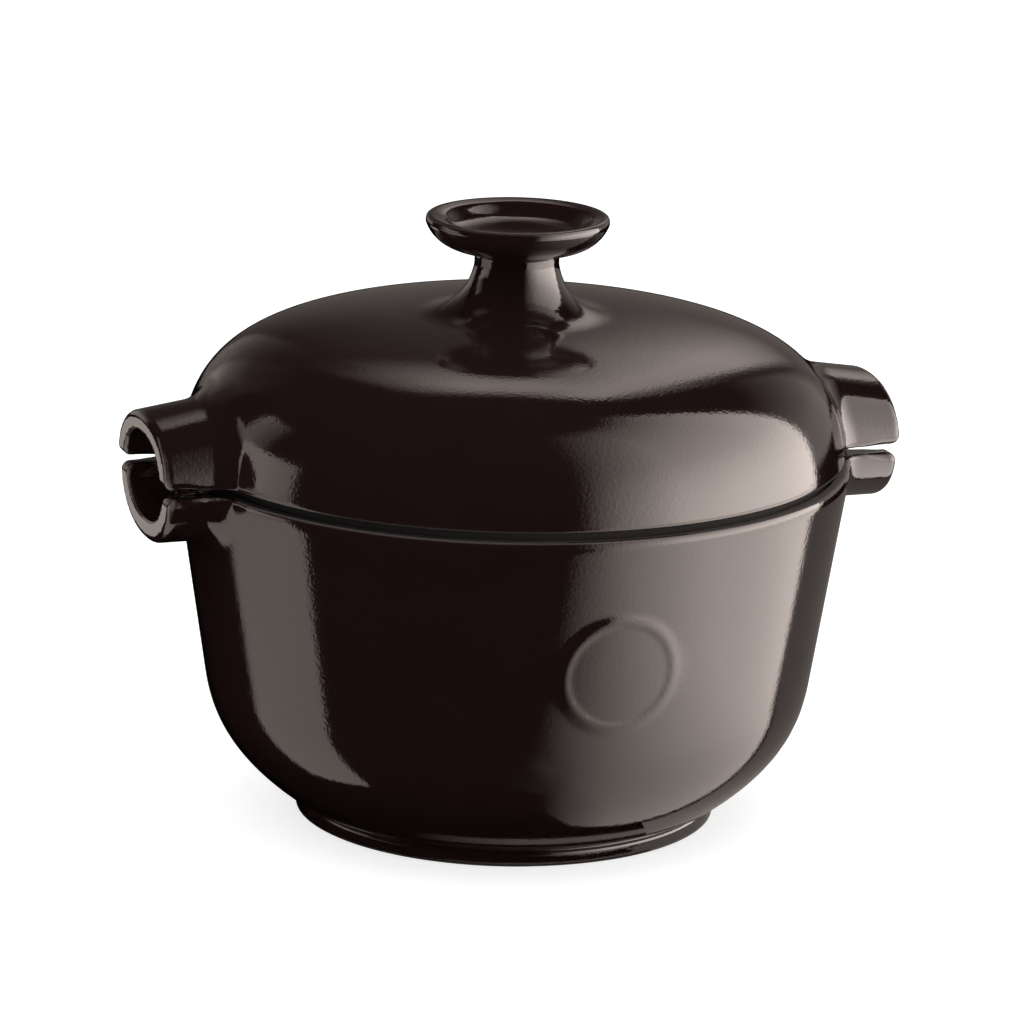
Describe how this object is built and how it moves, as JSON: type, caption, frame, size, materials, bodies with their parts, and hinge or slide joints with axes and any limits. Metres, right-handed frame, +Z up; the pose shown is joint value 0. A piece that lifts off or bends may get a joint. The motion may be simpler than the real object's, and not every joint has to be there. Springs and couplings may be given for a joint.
{
  "type": "rice pot",
  "caption": "Glazed stoneware rice pot: tapered bowl on a foot ring, domed lid with a mushroom knob, split half-pipe side handles and a vented inner lid.",
  "frame": {"origin": "centre of the foot ring's underside, on the table", "axes": "+Z up along the pot's axis, X through the two side handles, -Y the front"},
  "size_m": [0.2504, 0.2196, 0.1979],
  "materials": {
    "pot_glaze": "glossy charcoal glaze with a fine orange-peel texture",
    "lid_glaze": "glossy charcoal glaze with a fine orange-peel texture",
    "inner_lid_glaze": "satin charcoal glaze"
  },
  "bodies": {
    "pot": {"pot": "pot_glaze"},
    "lid": {"lid": "lid_glaze"},
    "inner_lid": {"inner_lid": "inner_lid_glaze"}
  },
  "joints": [
    {"name": "lid_lift", "type": "slide", "parent": "pot", "child": "lid", "axis": [0, 0, 1], "range_m": [0, 0.14]},
    {"name": "inner_lid_lift", "type": "slide", "parent": "pot", "child": "inner_lid", "axis": [0, 0, 1], "range_m": [0, 0.07]}
  ],
  "couplings": [
    {"joint": "inner_lid_lift", "follows": "lid_lift", "ratio": 0.5}
  ]
}
